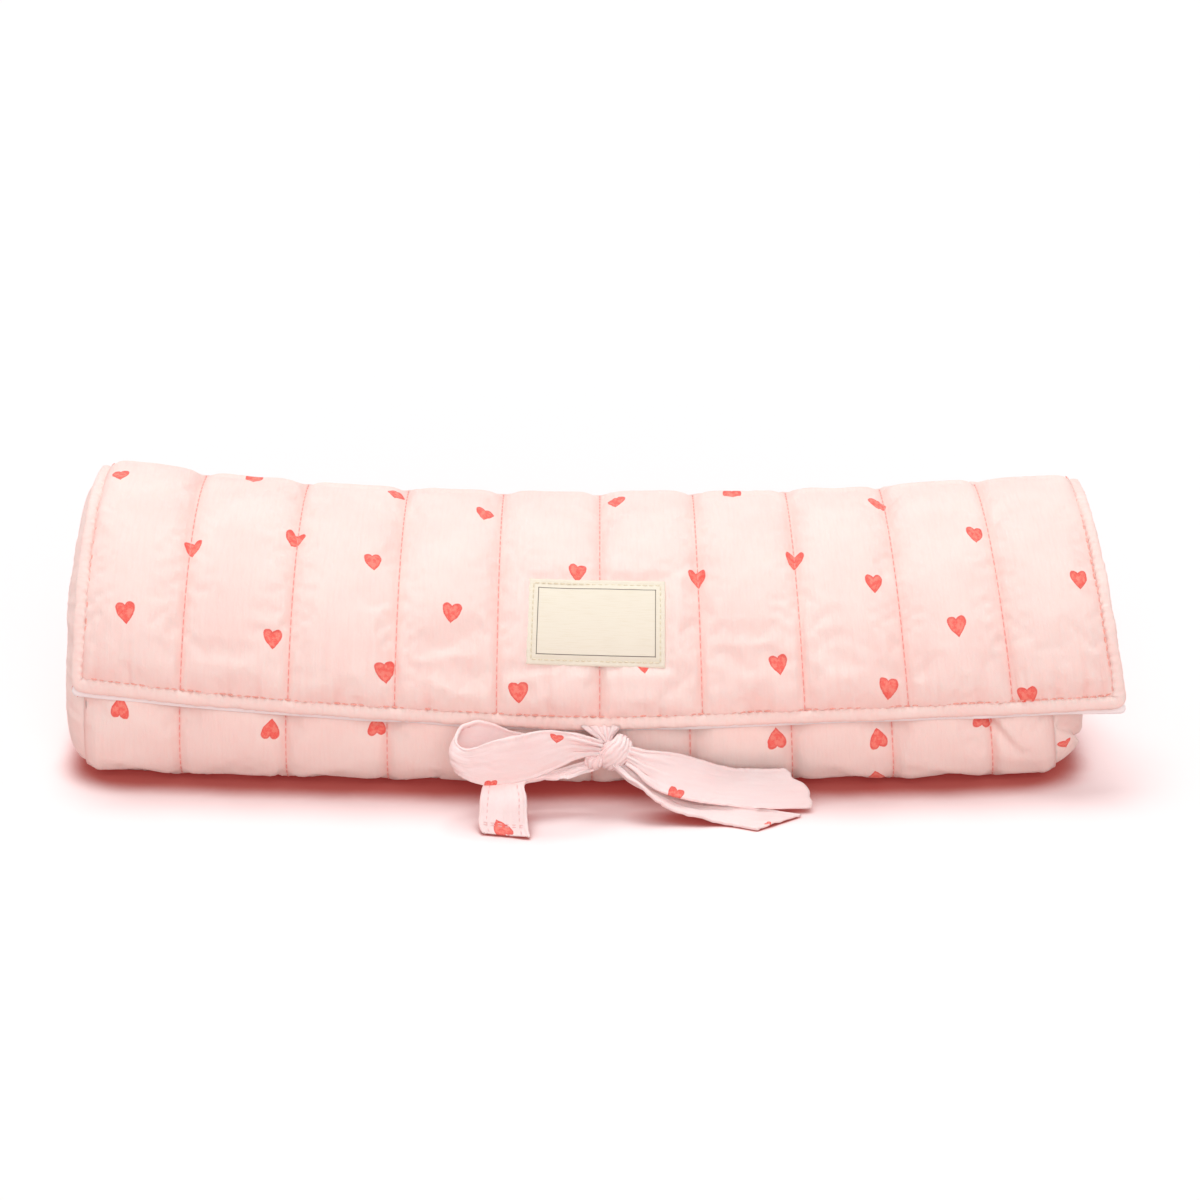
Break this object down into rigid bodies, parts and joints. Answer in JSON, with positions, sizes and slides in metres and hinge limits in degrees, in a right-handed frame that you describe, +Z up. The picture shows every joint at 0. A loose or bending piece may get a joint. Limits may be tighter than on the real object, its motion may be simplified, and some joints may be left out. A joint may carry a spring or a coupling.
{
  "type": "quilted hair tool case",
  "caption": "Long quilted fabric case with a padded flap, rolled edge, sewn label and fabric ties in a bow.",
  "frame": {"origin": "centre of the whole tied case's footprint, on the surface that it rests on", "axes": "+X along the case to its right end, +Y from the flap's front edge to the rear wall, +Z up"},
  "size_m": [0.3538, 0.1478, 0.0933],
  "materials": {
    "printed_cloth": "crinkled woven cotton with a soft sheen, pink with scattered red hearts",
    "wadding": "soft needled polyester wadding",
    "lining_cloth": "plain smooth heat-resistant lining cloth",
    "label_cloth": "unbleached cotton tape with stitched edges",
    "tie_cloth": "thin crinkled cotton, turned and topstitched"
  },
  "bodies": {
    "body": {"front_panel_outer": "printed_cloth", "front_panel_wadding": "wadding", "front_panel_lining": "lining_cloth", "back_panel_outer": "printed_cloth", "back_panel_wadding": "wadding", "back_panel_lining": "lining_cloth", "mouth_hem": "printed_cloth", "left_end_outer": "printed_cloth", "left_end_wadding": "wadding", "left_end_lining": "lining_cloth", "right_end_outer": "printed_cloth", "right_end_wadding": "wadding", "right_end_lining": "lining_cloth", "body_tie": "tie_cloth", "bow_knot": "tie_cloth", "bow_left_loop": "tie_cloth", "bow_left_tail": "tie_cloth", "bow_right_band": "tie_cloth", "bow_right_tail": "tie_cloth"},
    "flap": {"flap_outer": "printed_cloth", "flap_wadding": "wadding", "flap_lining": "lining_cloth", "flap_edge_roll": "printed_cloth", "label": "label_cloth", "flap_tie": "tie_cloth"}
  },
  "joints": [
    {"name": "flap_hinge", "type": "hinge", "parent": "body", "child": "flap", "pos_m": [0.004, 0.0336, 0.0847], "axis": [-1, 0, 0], "range_deg": [0, 180]}
  ]
}
